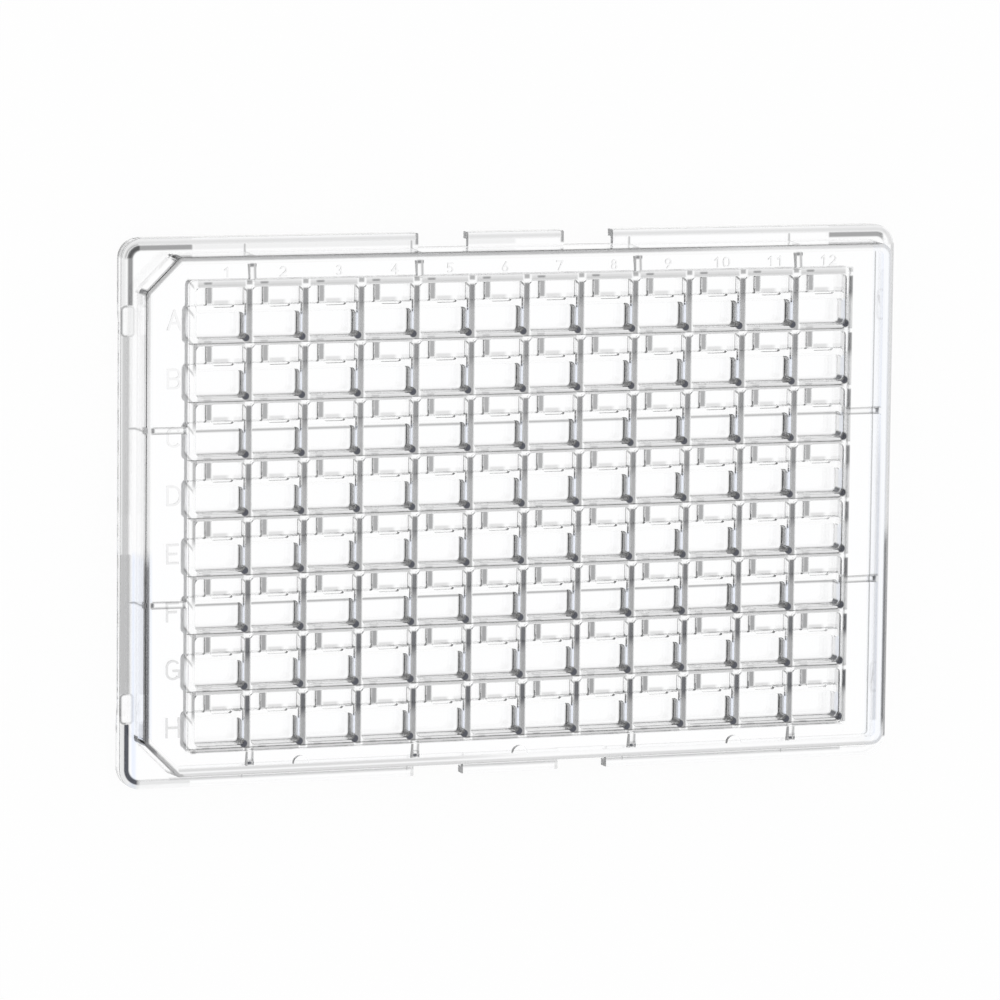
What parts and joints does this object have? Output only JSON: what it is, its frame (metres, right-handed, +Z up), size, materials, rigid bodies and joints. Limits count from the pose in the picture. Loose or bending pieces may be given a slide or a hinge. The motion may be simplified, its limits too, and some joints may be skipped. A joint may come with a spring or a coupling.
{
  "type": "well plate",
  "caption": "Low clear plate with a grid of square cells, each with small drop wells on a shelf beside a deeper reservoir.",
  "frame": {"origin": "middle of the footprint, on the face that the plate stands on", "axes": "+X along the numbered columns towards column 12, +Y towards row A, +Z up out of the wells"},
  "size_m": [0.1278, 0.0854, 0.008],
  "materials": {
    "clear_polystyrene": "clear, colourless, polished moulding"
  },
  "bodies": {
    "root": {"well_plate": "clear_polystyrene"}
  },
  "joints": []
}
